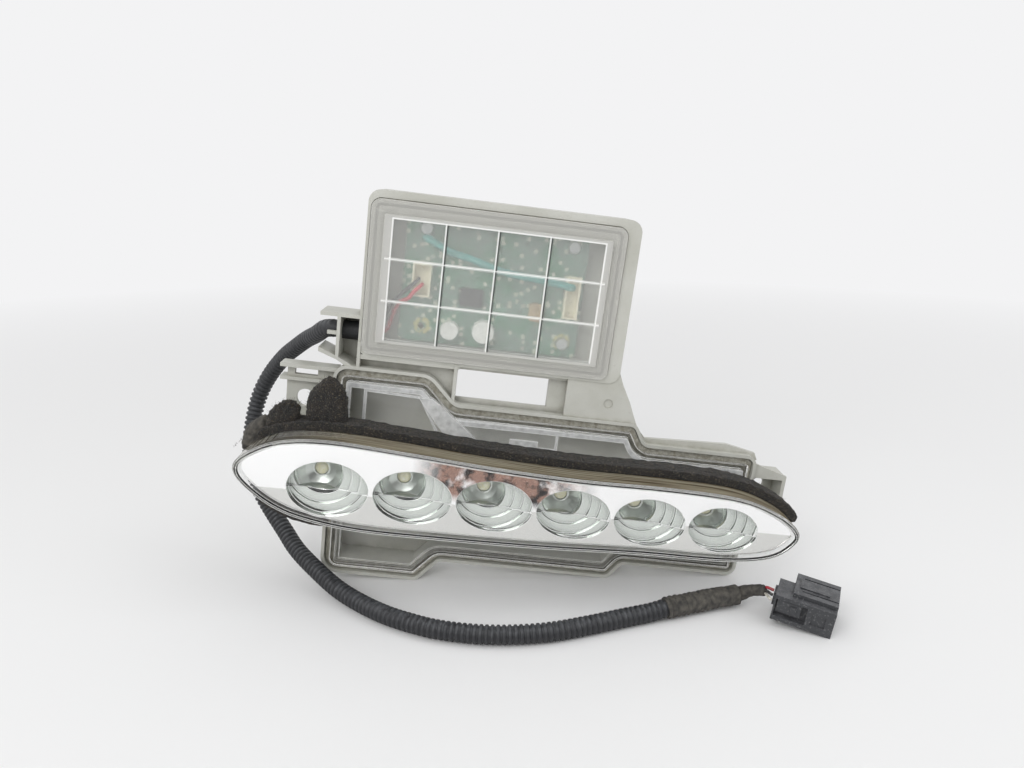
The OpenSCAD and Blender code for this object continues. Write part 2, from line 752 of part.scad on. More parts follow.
module driver_ic() {
  color("#25272b")
    in_lamp() {
      block(-38, -26, board_y - 2, board_y - 0.3, board_mid - 11, board_mid - 1);
      for (k = [0:4], x = [-39.4, -26.4])
        block(x, x + 1.8, board_y - 0.6, board_y, board_mid - 10.2 + k * 1.9, board_mid - 9.2 + k * 1.9);
    }
}

module inductor() {
  color("#b39a72")
    in_lamp()
      slab(board_y - 5, board_y, rounded(box_corners(0, board_mid - 14.5, 8, board_mid - 5, 2)));
}

// Can capacitor standing on the board.
module can_capacitor(x, z, r, h) {
  color("#d5d5cf")
    in_lamp()
      difference() {
        union() {
          bar(x, z, r, board_y - 1, board_y, 40);
          bar(x, z, r - 0.2, board_y - h, board_y - 0.9, 40);
        }
        difference() {
          bar(x, z, r + 0.5, board_y - h + 0.8, board_y - h + 1.6, 40);
          bar(x, z, r - 0.7, board_y - h, board_y - h + 2, 40);
        }
      }
}

// Lead that comes in through the cable holder, rises beside the board and ends in the input header.
module input_wire(across, up, tone) {
  color(tone)
    in_lamp()
      swept([[-83.9, 12, holder_z + up], [-80.5, 12.6, holder_z + 0.6 + up],
        [-77.6 + across, 14.4, holder_z + 4 + up * 0.6], [-76.2 + across, 14.6, holder_z + 9],
        [-74.6 + across, 11.6, holder_z + 14.5], [-71.6 + across, 7.4, input_z - 13],
        [-67 + across, 3.4, input_z - 9 + up * 0.8],
        [input_x - 3.6 + across * 0.6, 2.9, input_z - 4.4 + up * 0.8],
        [input_x - 0.9 + across * 0.6, 4, input_z - 1.6 + up * 0.8],
        [input_x - 0.2 + across * 0.6, 6, input_z - 0.8 + up * 0.8]], 1.1, 0, lead_sides);
}

// Sleeved lead from the board across to the output header.
module led_lead() {
  color("#3f8f8a")
    in_lamp()
      swept([[board_left + 10, 8.4, board_top - 9.4], [board_left + 15, 6.6, board_top - 11.4],
        [board_left + 24, 5.4, board_top - 15.6], [board_left + 37, 5.2, board_mid + 15],
        [board_left + 50, 5, board_mid + 11.2], [-10, 4.8, board_mid + 9.6], [2, 4.4, board_mid + 8.8],
        [output_x - 8, 3.4, output_z + 7.2], [output_x - 2.4, 3.2, output_z + 6.2],
        [output_x, 5.6, output_z + 5.8]], 2, 0, lead_sides);
}

// Foam strip stuck round the side wall of the lens, from y0 back.
module foam_strip(y0, thick) {
  slab(y0, y0 + foam_depth, leaf_outline(-thick));
}

module foam_seal() {
  color(foam_black)
    in_lamp()
      difference() {
        foam_strip(-foam_front, foam_thick);
        slab(-60, 0, leaf_outline(-0.3));
        block(-200, 200, -60, 0, 0, 75);
        block(-200, foam_left, -60, 0, 0, 120);
      }
}

// The lower end of the strip, under the left half of the lens.
module foam_seal_low() {
  color(foam_black)
    in_lamp()
      difference() {
        foam_strip(-foam_front - 10, foam_thick + 2);
        slab(-60, 0, leaf_outline(-0.3));
        block(-50, 200, -60, 0, 0, 100);
        block(-200, 200, -60, 0, 64, 120);
      }
}

// Rounded pad of foam or tape that stands on the strip.
module pad(points, y0, thick, tone, clear = foam_thick + 0.1) {
  color(tone)
    in_lamp()
      difference() {
        slab(y0, y0 + thick, smooth(points, 4));
        slab(-60, 0, leaf_outline(-clear));
      }
}

module foam_pad_tall() {
  pad([[-109.4, 97], [-89.4, 97], [-89, 107], [-90.5, 114.2], [-94.5, 119.4], [-99.9, 122.3], [-104.9, 118.4],
    [-109.8, 111.6], [-111.2, 104]], -24, pad_thick, foam_black);
}

module foam_pad_low() {
  pad([[-131.6, 89], [-115, 94], [-114, 102.8], [-115.8, 106], [-119, 107.2], [-123.5, 106.2],
    [-127.3, 103.2], [-131, 97.2]], -24, pad_thick, foam_black);
}

// Tape bound over the end of the strip at the left tip, on the lens itself.
module tape_wrap() {
  difference() {
    pad([[-144, 76], [-136, 80], [-131, 86], [-131, 94], [-135, 95.4], [-140.6, 91], [-143.4, 86]],
      -24, 14, tape_black, 0.3);
    in_lamp()
      block(foam_left - 0.1, 0, -60, 0, 0, 120);
  }
}

module vent_cap() {
  color(tape_black)
    in_lamp()
      difference() {
        union() {
          bar(-20, 65, 9, chamber_depth, chamber_depth + vent_height - 2, 48);
          bar(-20, 65, 6, chamber_depth + vent_height - 2 - eps, chamber_depth + vent_height, 48);
        }
        for (a = [0:60:300])
          translate([-20, chamber_depth + vent_height - 1, 65])
            rotate([0, a, 0])
              translate([6, 0, 0])
                cube([3, 1.2, 1.6], center = true);
      }
}

// Rubber sleeve where the leads pass from the holder into the bay.
module cable_grommet() {
  color(black_plastic)
    in_lamp()
      difference() {
        union() {
          bar_x(-100, -90.3, 12, holder_z, 5.2);
          bar_x(-90.4, -84, 12, holder_z, 3.5);
        }
        bar_x(-101, -80, 12, holder_z, 2.6);
      }
}

module conduit() {
  color(tape_black)
    swept(route, conduit_radius, conduit_radius - 1.4, conduit_sides);
}

// Cloth tape over the last stretch of the conduit.
module end_tape() {
  color(tape_black)
    swept([for (i = [tape_start:len(route) - 1]) route[i]], tape_radius, conduit_radius + 0.3, conduit_sides);
}

// Tighter turns of tape that bind the leads behind the conduit's end.
module neck_tape() {
  color(tape_black)
    swept(neck_route, 3.4, 0, conduit_sides);
}

// One lead, from the end of the neck tape to its seal on the plug.
module lead(row, tone) {
  r = lead_rows[row];
  s = neck_route[len(neck_route) - 1];
  along = unit(s - neck_route[len(neck_route) - 2]);
  side = unit(cross([0, 0, 1], along));
  start = [for (f = [0, 0.8]) s + f * along + r[0] * side + r[1] * cross(along, side)];
  end = [for (f = [2.4, 1.2]) plug_point([-f, 10.4 + r[0] * 1.8, 8.5 + r[1]])];
  color(tone)
    swept(concat(start, end), lead_radius, 0, lead_sides);
}

// A point of the plug's frame in the row's frame: first the slope, then the turn.
function plug_point(p) =
  let (
    u = p[0] * cos(plug_pitch) + p[2] * sin(plug_pitch),
    w = p[2] * cos(plug_pitch) - p[0] * sin(plug_pitch)
  )
  plug_place + [u * cos(plug_turn) - p[1] * sin(plug_turn), u * sin(plug_turn) + p[1] * cos(plug_turn), w];

module in_plug() {
  translate(plug_place)
    rotate([0, plug_pitch, plug_turn])
      children();
}

// The plug's body: low wire end with its seals, taller and wider mating end, latch recess on its near side.
module plug_housing() {
  far = plug_width + 7.9;
  tall = plug_height + 2.2;
  color(black_plastic)
    in_plug() {
      difference() {
        union() {
          block(0, plug_length, 0, plug_width, 0, plug_height);
          block(8, plug_length, 4, far, 0.5, tall);
          block(10.5, plug_length - 5, 11, 20, tall - eps, tall + 0.8);
        }
        block(2, 12, 5.4, plug_width - 2, 3, plug_height - 2);
        block(11.5, plug_length + 1, 6, far - 2, 2.4, tall - 2);
        block(0.8, 16.5, -1, 3.6, 2.4, 12.2);
        block(19, 26, -1, 0.7, 4, plug_height - 4);
        for (y = [8, far - 5])
          block(12, plug_length + 1, y, y + 1.2, tall - 0.7, tall + 1);
      }
      block(-1.2, 0.1, 6, 15, 5, 12);
    }
}

// Retainer that locks the terminals, set into the latch recess.
module plug_retainer() {
  color("#2c2e32")
    in_plug() {
      block(1.6, 13.6, 0.9, 3.6, 4.9, 11.6);
      block(8.4, 11.4, 0.2, 1, 6.4, 10);
    }
}

housing();
outer_lens();
lens_sealant();
reflector();
led_board();
led(0);  // led_1
led(1);  // led_2
led(2);  // led_3
led(3);  // led_4
led(4);  // led_5
led(5);  // led_6
heat_sink();
screw(sink_posts[0][0], sink_posts[0][1], chip_y, 2.8, 1.5, 9);  // sink_screw_1
screw(sink_posts[1][0], sink_posts[1][1], chip_y, 2.8, 1.5, 9);  // sink_screw_2
driver_cover();
cover_sealant();
driver_board();
screw(board_posts[0][0], board_posts[0][1], board_y, screw_head, screw_radius, 7);  // board_screw_1
screw(board_posts[1][0], board_posts[1][1], board_y, screw_head, screw_radius, 7);  // board_screw_2
screw(board_posts[2][0], board_posts[2][1], board_y, screw_head, screw_radius, 7);  // board_screw_3
input_header();
output_header();
driver_ic();
inductor();
can_capacitor(-42, board_bottom + 8.5, 5, 6.5);  // capacitor_1
can_capacitor(-23.5, board_bottom + 9.8, 6.1, 7);  // capacitor_2
input_wire(1.7, -1.6, "#a3202c");  // input_wire_red
input_wire(-1.7, 1.6, "#1d1e20");  // input_wire_black
led_lead();
foam_seal();
foam_seal_low();
foam_pad_tall();
foam_pad_low();
tape_wrap();
vent_cap();
cable_grommet();
conduit();
end_tape();
neck_tape();
lead(0, "#a3202c");  // lead_red
lead(1, "#1d1e20");  // lead_black
lead(2, "#d8d4c8");  // lead_white
plug_housing();
plug_retainer();
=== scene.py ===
# Daytime running light for a car bumper, standing on its rim with its cable and plug in front.
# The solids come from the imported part; this script adds finishes and the pieces that solids can't give.
import math
import random

import bpy
from mathutils import Matrix, Vector, noise


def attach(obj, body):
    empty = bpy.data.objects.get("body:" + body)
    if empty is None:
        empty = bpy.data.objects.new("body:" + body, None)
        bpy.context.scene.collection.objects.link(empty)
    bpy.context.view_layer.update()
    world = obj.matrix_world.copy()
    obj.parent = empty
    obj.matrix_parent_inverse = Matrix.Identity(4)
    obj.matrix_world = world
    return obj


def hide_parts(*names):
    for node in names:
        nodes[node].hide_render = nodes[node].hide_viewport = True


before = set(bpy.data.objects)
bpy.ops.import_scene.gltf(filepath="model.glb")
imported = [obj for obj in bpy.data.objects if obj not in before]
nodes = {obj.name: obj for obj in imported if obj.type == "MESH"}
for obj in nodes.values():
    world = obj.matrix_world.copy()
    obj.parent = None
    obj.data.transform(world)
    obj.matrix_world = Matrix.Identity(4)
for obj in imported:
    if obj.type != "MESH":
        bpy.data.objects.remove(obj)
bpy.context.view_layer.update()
scene = bpy.context.scene
scene.view_settings.view_transform = "Standard"

# Camera: about 0.4 m in front of the lamp and 225 mm over the floor, looking a little down.
# It has the wide view of a 28 mm lens.
camera = bpy.data.objects.new("camera", bpy.data.cameras.new("camera"))
camera.data.sensor_width = 36
camera.data.lens = 28.125
camera.location = (-0.0136, -0.4187, 0.225)
camera.rotation_euler = (math.radians(90 - 14.2), 0, math.radians(-1.3))
scene.collection.objects.link(camera)
scene.camera = camera

# Corrugated conduit: black polypropylene tube, extruded and formed into rings, 10 mm across.
# It leaves the holder at the left of the driver bay and lies on the floor in one open bend.
MM = 0.001
STEP = 0.5 * MM
# Standing on its lower rim, the lamp is rolled this far, and its own origin lies here.
LAMP_ROLL = math.radians(6.90625)
LAMP_ORIGIN = Vector((-14.3, 6.5, -5.81)) * MM
LAMP = Matrix.Translation(LAMP_ORIGIN) @ Matrix.Rotation(LAMP_ROLL, 4, "Y")


def lamp(x, y, z):
    """A point given in millimetres in the lamp's own frame, as a point of the scene in metres."""
    return LAMP @ Vector((x * MM, y * MM, z * MM))


def linear(hex_colour, alpha=1.0):
    """Turns an sRGB hex value into the linear colour that Blender's sockets take."""
    parts = [int(hex_colour[i : i + 2], 16) / 255 for i in (1, 3, 5)]
    return [c / 12.92 if c <= 0.04045 else ((c + 0.055) / 1.055) ** 2.4 for c in parts] + [alpha]


def give(tree, node, **given):
    """Sets a node's inputs (in_2 is the third) and properties. Another node's output is linked."""
    for name, value in given.items():
        if name.startswith("in_"):
            socket = node.inputs[int(name[3:])]
        else:
            socket = node.inputs.get(name.replace("_", " "))
        if isinstance(value, bpy.types.Node):
            value = next(output for output in value.outputs if output.enabled)
        if socket is None:
            setattr(node, name, value)
        elif isinstance(value, bpy.types.NodeSocket):
            tree.links.new(value, socket)
        else:
            socket.default_value = linear(value) if isinstance(value, str) else value
    return node


def put(tree, kind, **given):
    """Adds a shader node with its settings and links."""
    return give(tree, tree.nodes.new("ShaderNode" + kind), **given)


def new_finish(name, **given):
    """A material with one Principled shader. Its place is the point on it in millimetres."""
    finish = bpy.data.materials.new(name)
    finish.use_nodes = True
    tree = finish.node_tree
    tree.nodes.clear()
    metres = put(tree, "TexCoord").outputs["Object"]
    place = put(tree, "VectorMath", operation="SCALE", in_0=metres, Scale=1 / MM)
    shader = put(tree, "BsdfPrincipled", **given)
    put(tree, "OutputMaterial", Surface=shader)
    return finish, tree, shader, place


def speckle(tree, place, size, detail=3.0, low=0.35, high=0.65, least=0.0, most=1.0):
    """Noise with features of a size in millimetres, spread from the least to the most share."""
    cloud = put(tree, "TexNoise", Vector=place, Scale=1 / size, Detail=detail)
    return put(tree, "MapRange", Value=cloud, From_Min=low, From_Max=high, To_Min=least, To_Max=most)


def where(tree, share, *slopes):
    """Keeps a share where every slope lets it: a value, where it gives none and where it gives all."""
    for value, none, full in slopes:
        share = put(tree, "MapRange", Value=value, From_Min=none, From_Max=full, To_Max=share)
    return share


def layered(tree, ground, *layers):
    """A ground colour with other colours over it, each laid on by its own share."""
    for share, colour in layers:
        ground = put(tree, "Mix", data_type="RGBA", in_0=share, in_6=ground, in_7=colour)
    return ground


def dust_on_top(tree):
    """How far a face looks up, where dust settles."""
    facing = put(tree, "SeparateXYZ", in_0=put(tree, "NewGeometry").outputs["Normal"])
    return where(tree, 1.0, (facing.outputs[2], 0.2, 1.0))


def curve_point(a, b, c, d, t):
    """A share t of the smooth way from b to c, on a line that comes from a and goes on to d."""
    return b + t / 2 * ((c - a) + t * ((2 * a - 5 * b + 4 * c - d) + t * (3 * b - a - 3 * c + d)))


def resample(points):
    """Smooth line through points, and its length: each step's place, direction and two sides."""
    points = [Vector(p) for p in points]
    dense, last, per_span = [], len(points) - 1, 24
    for i in range(last):
        around = [points[max(0, min(j, last))] for j in (i - 1, i, i + 1, i + 2)]
        dense += [curve_point(*around, k / per_span) for k in range(per_span)]
    dense.append(points[-1])
    places, run, wanted = [dense[0]], 0.0, STEP
    for p, q in zip(dense, dense[1:]):
        span = (q - p).length
        while run + span >= wanted:
            places.append(p.lerp(q, (wanted - run) / span))
            wanted += STEP
        run += span
    line, up = [], None
    for i, p in enumerate(places):
        ahead = (places[min(i + 1, len(places) - 1)] - places[max(i - 1, 0)]).normalized()
        if up is None:
            up = ahead.cross(Vector((0, 0, 1))).normalized()
        up = (up - up.dot(ahead) * ahead).normalized()
        line.append((p, ahead, up, ahead.cross(up)))
    return line, run


def add_piece(name, verts, faces, finish):
    """Makes a smooth mesh that rides on the lamp and takes its finish from a slot."""
    data = bpy.data.meshes.new(name)
    data.from_pydata([tuple(v) for v in verts], [], faces)
    data.materials.append(finish)
    data.polygons.foreach_set("use_smooth", [True] * len(faces))
    data.validate()
    piece = bpy.data.objects.new(name, data)
    scene.collection.objects.link(piece)
    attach(piece, "root")
    return piece


def ring_faces(rings, sides, turned_over=False):
    """Side faces and two end caps of a closed skin whose points come ring by ring."""
    faces = []
    for i in range(rings - 1):
        for k in range(sides):
            n = (k + 1) % sides
            a, b, c, d = i * sides + k, i * sides + n, (i + 1) * sides + n, (i + 1) * sides + k
            faces.append((a, d, c, b) if turned_over else (a, b, c, d))
    last = (rings - 1) * sides
    caps = [tuple(range(sides - 1, -1, -1)), tuple(range(last, last + sides))]
    return faces + [cap[::-1] if turned_over else cap for cap in caps]


def tube(name, line, rings, sides, finish):
    """Closed tube along a line. Each ring is a distance along it and a radius, or one per angle."""
    verts = []
    for distance, radius in rings:
        at = min(distance / STEP, len(line) - 1.001)
        i = int(at)
        p = line[i][0].lerp(line[i + 1][0], at - i)
        for k in range(sides):
            turn = 2 * math.pi * k / sides
            r = radius(turn) if callable(radius) else radius
            verts.append(p + r * (math.cos(turn) * line[i][2] + math.sin(turn) * line[i][3]))
    return add_piece(name, verts, ring_faces(len(rings), sides), finish)


ROUTE = [lamp(-101.8, 12, 141), lamp(-105, 12, 141)] + [
    Vector(p) * MM
    for p in (
        (-107.8, 23.5, 145.6), (-114.3, 31.5, 141), (-121.8, 40.5, 136.5), (-130.8, 50, 130),
        (-140.8, 59, 122), (-150.8, 65, 111), (-157.8, 66, 100), (-161.8, 63.5, 89),
        (-163.8, 58, 76), (-163.8, 52, 64), (-161.6, 47, 52), (-156.2, 42, 41), (-149.6, 36.5, 32.5),
        (-139.1, 25, 23.7), (-128.9, 12.5, 16.7), (-115.1, -2, 11.3), (-100.5, -16.5, 7.1),
        (-85.5, -29.5, 5.3), (-70.5, -41.5, 5.2), (-56, -50, 5.2), (-42.5, -56, 5.2),
        (-24, -60.4, 5.2), (-6, -61.5, 5.2), (13.7, -59.4, 5.2), (33, -53.8, 5.2),
        (53.6, -46.6, 5.2), (67.6, -42.2, 5.4), (76, -39.6, 6.3), (90, -35, 6.4),
        (104, -30.4, 6.6), (118, -27.2, 7),
    )
]
CONDUIT_RADIUS = 5.0
CONDUIT_CORE = 4.15
CONDUIT_SIDES = 28
RING_PITCH = 2.9 * MM
# One ring, as shares of the pitch and radii in millimetres.
RING = ((0.0, 4.2), (0.1, 4.8), (0.2, 4.98), (0.5, 4.98), (0.6, 4.8), (0.7, 4.2), (0.85, 4.1))
# The first rings sit in a split sleeve, so they stand out less.
SLEEVE_LENGTH = 34 * MM
SLEEVE_SHOWS = 0.35

conduit_plastic, tree, shader, place = new_finish("black_polypropylene_corrugated", Roughness=0.5)
# Road dust lies on the upper side, greyer than the black plastic, and painted shade darkens the grooves.
dusty = speckle(tree, place, 2.5, 6, most=dust_on_top(tree))
# Painted shade: where the rings hide the grooves from one another, the tone goes near black.
groove = put(tree, "AmbientOcclusion", samples=4, only_local=True, Distance=1.2 * MM)
painted_groove_shade = where(tree, 0.75, (groove.outputs["AO"], 0.8, 0.35))
tone = layered(tree, "#2a2b2e", (dusty, "#545659"), (painted_groove_shade, "#141416"))
relief = put(tree, "Bump", Distance=0.05 * MM, Height=speckle(tree, place, 0.35, 2))
give(tree, shader, Base_Color=tone, Normal=relief)

line, length = resample(ROUTE)
rings = []
for k in range(int(length / RING_PITCH)):
    shown = SLEEVE_SHOWS if k * RING_PITCH < SLEEVE_LENGTH else 1.0
    for share, radius in RING:
        depth = (CONDUIT_RADIUS - radius) * shown
        rings.append(((k + share) * RING_PITCH, (CONDUIT_RADIUS - depth) * MM))
rings.append((length, CONDUIT_CORE * MM))
conduit = tube("conduit_rings", line, rings, CONDUIT_SIDES, conduit_plastic)
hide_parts("conduit")

# Cloth tape: fuzzy black tape wound in overlapping turns over the end of the conduit.
# Each turn leaves a low step, and road dust greys the weave.
TAPE_FROM = resample(ROUTE[:-3])[1]
TAPE_RINGS = 120
THREAD_SPACING = 0.5
# The winding has low lumps about 11 mm long.
LUMP_LENGTH = 1 / 90
LUMP_HEIGHT = 0.35 * MM
cloth_tape, tree, shader, place = new_finish("black_cloth_tape_wound", Roughness=0.92)
tone = layered(tree, "#323130", (speckle(tree, place, 3.0, 6, 0.3, 0.75), "#625e57"))
weave = put(tree, "TexNoise", Vector=place, Scale=1 / THREAD_SPACING, Detail=4)
relief = put(tree, "Bump", Distance=0.35 * MM, Height=weave)
give(tree, shader, Base_Color=tone, Normal=relief)


def wound(radius, turn_width, lift, seed):
    """Radii in metres of tape wound round a core: a spiral step plus a little unevenness."""

    def at(distance, turn):
        spiral = (distance / turn_width - turn / (2 * math.pi)) % 1
        around = (math.cos(turn) * 1.3, math.sin(turn) * 1.3 + seed)
        lump = noise.noise(Vector((distance / LUMP_LENGTH, *around)))
        return radius + lift * spiral + LUMP_HEIGHT * lump

    return at


turns = wound(radius=5.3 * MM, turn_width=9 * MM, lift=0.3 * MM, seed=3)
rings = [(TAPE_FROM, 4.9 * MM)]
for k in range(TAPE_RINGS):
    share = k / (TAPE_RINGS - 1)
    distance = TAPE_FROM + (length - TAPE_FROM) * share
    # The rings of the conduit press through the first turns.
    pressed = 0.4 * MM * (1 - share) * math.cos(2 * math.pi * (distance / RING_PITCH - 0.35))
    rings.append((distance, lambda turn, d=distance, r=pressed: turns(d, turn) + r))
rings.append((length - 0.1 * MM, 4.5 * MM))
end_tape = tube("tape_over_conduit", line, rings, CONDUIT_SIDES, cloth_tape)
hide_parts("end_tape")

# Taped neck: the same tape goes on over the bare leads and narrows towards the plug.
# It rises from the floor to the leads behind the plug.
NECK = [
    Vector(p) * MM
    for p in (
        (118, -27.2, 7), (120, -27, 7.6), (123, -28.8, 9.8), (126.6, -31.8, 12), (130.4, -35, 13.6),
    )
]
NECK_RINGS = 26
neck_line, neck_length = resample(NECK)
rings = []
for k in range(NECK_RINGS):
    share = k / (NECK_RINGS - 1)
    core = (3.7 - 1.1 * share + 0.15 * math.sin(share * 9)) * MM if share < 1 else 2.2 * MM
    turns = wound(radius=core, turn_width=4 * MM, lift=0.25 * MM, seed=11)
    rings.append((neck_length * share, lambda turn, d=neck_length * share, w=turns: w(d, turn)))
neck = tube("tape_over_leads", neck_line, rings, 24, cloth_tape)
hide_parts("neck_tape")

# Leads: stranded copper in PVC insulation, red, black and white, 1.6 mm across.
# They leave the tape side by side and end in the seals of the plug.
PLUG_PITCH = math.radians(9)
PLUG_TURN = math.radians(-25.75)
PLUG_AT = Vector((128.84, -48.09, 30.2 * math.sin(PLUG_PITCH))) * MM
LEAD_RADIUS = 0.8 * MM
LEAD_STEPS = 40
# Each lead's place in the bundle, across and up in millimetres, with its colour and name.
LEADS = (
    (1.5, 1.0, "#b02030", "red"),
    (-0.1, -0.3, "#26272a", "black"),
    (-1.7, -1.5, "#dcd8cc", "white"),
)


def plug_point(x, y, z):
    """A point given in millimetres in the plug's own frame, as a point of the scene in metres."""
    sloped = Matrix.Rotation(PLUG_PITCH, 3, "Y") @ Vector((x * MM, y * MM, z * MM))
    return PLUG_AT + Matrix.Rotation(PLUG_TURN, 3, "Z") @ sloped


along = (NECK[-1] - NECK[-2]).normalized()
side = Vector((0, 0, 1)).cross(along).normalized()
for across, up, colour, name in LEADS:
    insulation, tree, shader, place = new_finish(name + "_pvc_insulation", Roughness=0.42)
    smear = speckle(tree, place, 2.0, 4, 0.4, 0.8)
    tone = layered(tree, colour, (smear, "#6a6660"))
    give(tree, shader, Base_Color=tone, Normal=put(tree, "Bump", Distance=0.03 * MM, Height=smear))
    offset = across * MM * side + up * MM * along.cross(side)
    start = [NECK[-1] + f * MM * along + offset for f in (0, 0.8)]
    end = [plug_point(-f, 10.4 + across * 1.8, 8.5 + up) for f in (2.4, 1.2)]
    lead_line, lead_length = resample(start + end)
    rings = [(lead_length * k / LEAD_STEPS, LEAD_RADIUS) for k in range(LEAD_STEPS + 1)]
    lead = tube("lead_" + name + "_wire", lead_line, rings, 14, insulation)
    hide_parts("lead_" + name)

# Plug: black glass-filled nylon connector, injection moulded, with a retainer slid into it.
# The filled nylon is faintly grained, dusty on its upper faces and scuffed paler in spots.
plug_nylon, tree, shader, place = new_finish("black_glass_filled_nylon", Roughness=0.55)
settled = speckle(tree, place, 4, 6, 0.3, 0.7, most=dust_on_top(tree))
scuffs = speckle(tree, place, 1.1, 5, 0.56, 0.74, most=0.5)
tone = layered(tree, "#3a3b3e", (settled, "#5f6063"), (scuffs, "#8a8a8a"))
relief = put(tree, "Bump", Distance=0.04 * MM, Height=speckle(tree, place, 0.25, 2))
give(tree, shader, Base_Color=tone, Normal=relief)
for name in ("plug_housing", "plug_retainer"):
    nodes[name].data.materials[0] = plug_nylon

# Housing: light grey polypropylene, injection moulded with a satin skin.
# Brown road dirt and painted shade darken the glue channel and every inner corner.


def lamp_parts(tree, place):
    """The lamp's own x, y and z in millimetres."""
    origin, turn = LAMP_ORIGIN / MM, (0, LAMP_ROLL, 0)
    own = put(tree, "Mapping", vector_type="TEXTURE", Vector=place, Location=origin, Rotation=turn)
    return put(tree, "SeparateXYZ", in_0=own).outputs


def between(value, limits, soft):
    """Two slopes that keep a share between two limits, with soft ends of this half width."""
    low, high = limits
    return (value, low - soft, low + soft), (value, high + soft, high - soft)


# Painted shade darkens the left end of the bay, behind the board, in a dark grey. Sides, levels and
# depths are the lamp's own x, z and y in millimetres, here and in the next sections. A pair of them is
# two limits, or where a change starts and where it is full.
BAY_SHADE_SIDES = (-83.6, -67.5)
BAY_SHADE_LEVELS = (156, 207)
BAY_SHADE_DEPTHS = (6.0, 19.25)

moulding, tree, shader, place = new_finish("grey_polypropylene_moulded", Roughness=0.5)
# Painted shade mixed with road dirt: the occlusion darkens corners, recesses and the glue channel in a
# brown tone.
hollow = put(tree, "AmbientOcclusion", samples=8, only_local=True, Distance=5 * MM)
corner = where(tree, 1.0, (hollow.outputs["AO"], 0.95, 0.35))
dirt_and_corner_shade = speckle(tree, place, 5.0, 6, 0.25, 0.6, most=corner)
side, back, height = lamp_parts(tree, place)
# Painted shade: a dark grey tone laid on the left end of the bay behind the board.
painted_bay_shade = where(
    tree,
    1.0,
    *between(side, BAY_SHADE_SIDES, 0.3),
    *between(height, BAY_SHADE_LEVELS, 1.0),
    (back, BAY_SHADE_DEPTHS[0] - 0.5, BAY_SHADE_DEPTHS[0] + 0.5),
    (back, BAY_SHADE_DEPTHS[1] + 0.25, BAY_SHADE_DEPTHS[1] - 0.25),
)
skin = layered(
    tree,
    "#c1c1ba",
    (speckle(tree, place, 22, 4, 0.35, 0.7), "#b4b4ab"),
    (speckle(tree, place, 1.6, 5, 0.6, 0.8, most=0.25), "#8d887b"),
    (where(tree, 0.55, (dirt_and_corner_shade, 0, 1)), "#7d7868"),
    (painted_bay_shade, "#48474d"),
)
rough = put(tree, "MapRange", Value=dirt_and_corner_shade, To_Min=0.45, To_Max=0.8)
relief = put(tree, "Bump", Distance=0.03 * MM, Height=speckle(tree, place, 0.4, 2))
give(tree, shader, Base_Color=skin, Roughness=rough, Normal=relief)
nodes["housing"].data.materials[0] = moulding

# Lens: clear polycarbonate, injection moulded, 2.4 mm thick, with a ridge round its base plate.
# Old adhesive and road dirt cover its upper wall between the foam and the front.
BELT_DEPTHS = (-40.5, -14)
BELT_FROM_LEVELS = (72, 76)
BASE_FRONT = -2
FORMS_FRONTS = (-6, -5)
FORMS_FROM_LEVELS = (86, 87)


def edge_turn(tree, rounded):
    """1 on a flat face, and less the more a rounded edge turns the surface."""
    flat = put(tree, "NewGeometry").outputs["True Normal"]
    return put(tree, "VectorMath", operation="DOT_PRODUCT", in_0=rounded, in_1=flat)


def coat(tree, share, skin):
    """Lays another skin over the whole finish by a share."""
    output = next(n for n in tree.nodes if n.type == "OUTPUT_MATERIAL")
    under = output.inputs["Surface"].links[0].from_socket
    give(tree, output, Surface=put(tree, "MixShader", Fac=share, in_1=under, in_2=skin))


def clear_plastic(name, roughness, veil, tint, edge_highlight, edge_width):
    """Clear plastic under a thin veil of wear, with painted highlights along its moulded edges."""
    finish, tree, shader, place = new_finish(
        name, Base_Color=tint, Roughness=roughness, IOR=1.3, Transmission_Weight=1.0
    )
    turned = edge_turn(tree, put(tree, "Bevel", samples=6, Radius=edge_width * MM))
    # Painted highlight: this white share is the thin veil of wear on flat faces and rises to a white
    # diffuse skin along the moulded edges.
    white = put(
        tree,
        "MapRange",
        Value=turned,
        From_Min=0.995,
        From_Max=0.8,
        To_Min=veil,
        To_Max=veil + edge_highlight,
    )
    coat(tree, white, put(tree, "BsdfDiffuse", Color="#f2f2ef"))
    # Lamps shine straight through, so that what is inside is lit as behind the real plastic.
    shadow = put(tree, "LightPath").outputs["Is Shadow Ray"]
    coat(tree, shadow, put(tree, "BsdfTransparent", Color=tint))
    return finish, tree, shader, place


lens_plastic, tree, shader, place = clear_plastic(
    "clear_polycarbonate_lens",
    roughness=0.03,
    veil=0.01,
    tint="#ffffff",
    edge_highlight=0.85,
    edge_width=0.7,
)
relief = put(tree, "Bump", Distance=0.006 * MM, Height=speckle(tree, place, 9, 2))
give(tree, shader, Normal=relief)
side, back, height = lamp_parts(tree, place)
# The adhesive was wiped along the wall, so its streaks are long that way and 1.3 mm across.
wiped = put(tree, "VectorMath", operation="MULTIPLY", in_0=place, in_1=(0.03, 1.0, 0.05))
streaks = speckle(tree, wiped, 1.3, 4, 0.36, 0.64)
coverage = put(tree, "MapRange", Value=streaks, To_Min=0.6, To_Max=0.92)
thinner = put(tree, "MapRange", Value=side, From_Min=-118, From_Max=-80, To_Min=0.25)
# It lies on the outside only, so the mirror below keeps its clear view up through the wall.
face = put(tree, "NewGeometry").outputs
facing = put(tree, "SeparateXYZ", in_0=face["Normal"]).outputs
belt = where(
    tree,
    put(tree, "Math", operation="MULTIPLY", in_0=coverage, in_1=thinner),
    *between(back, BELT_DEPTHS, 0.5),
    (height, *BELT_FROM_LEVELS),
    (facing[2], 0.0, 0.2),
    (face["Backfacing"], 1, 0),
)
glue_tone = layered(tree, "#aaa189", (streaks, "#4f4536"))
coat(tree, belt, put(tree, "BsdfDiffuse", Color=glue_tone))
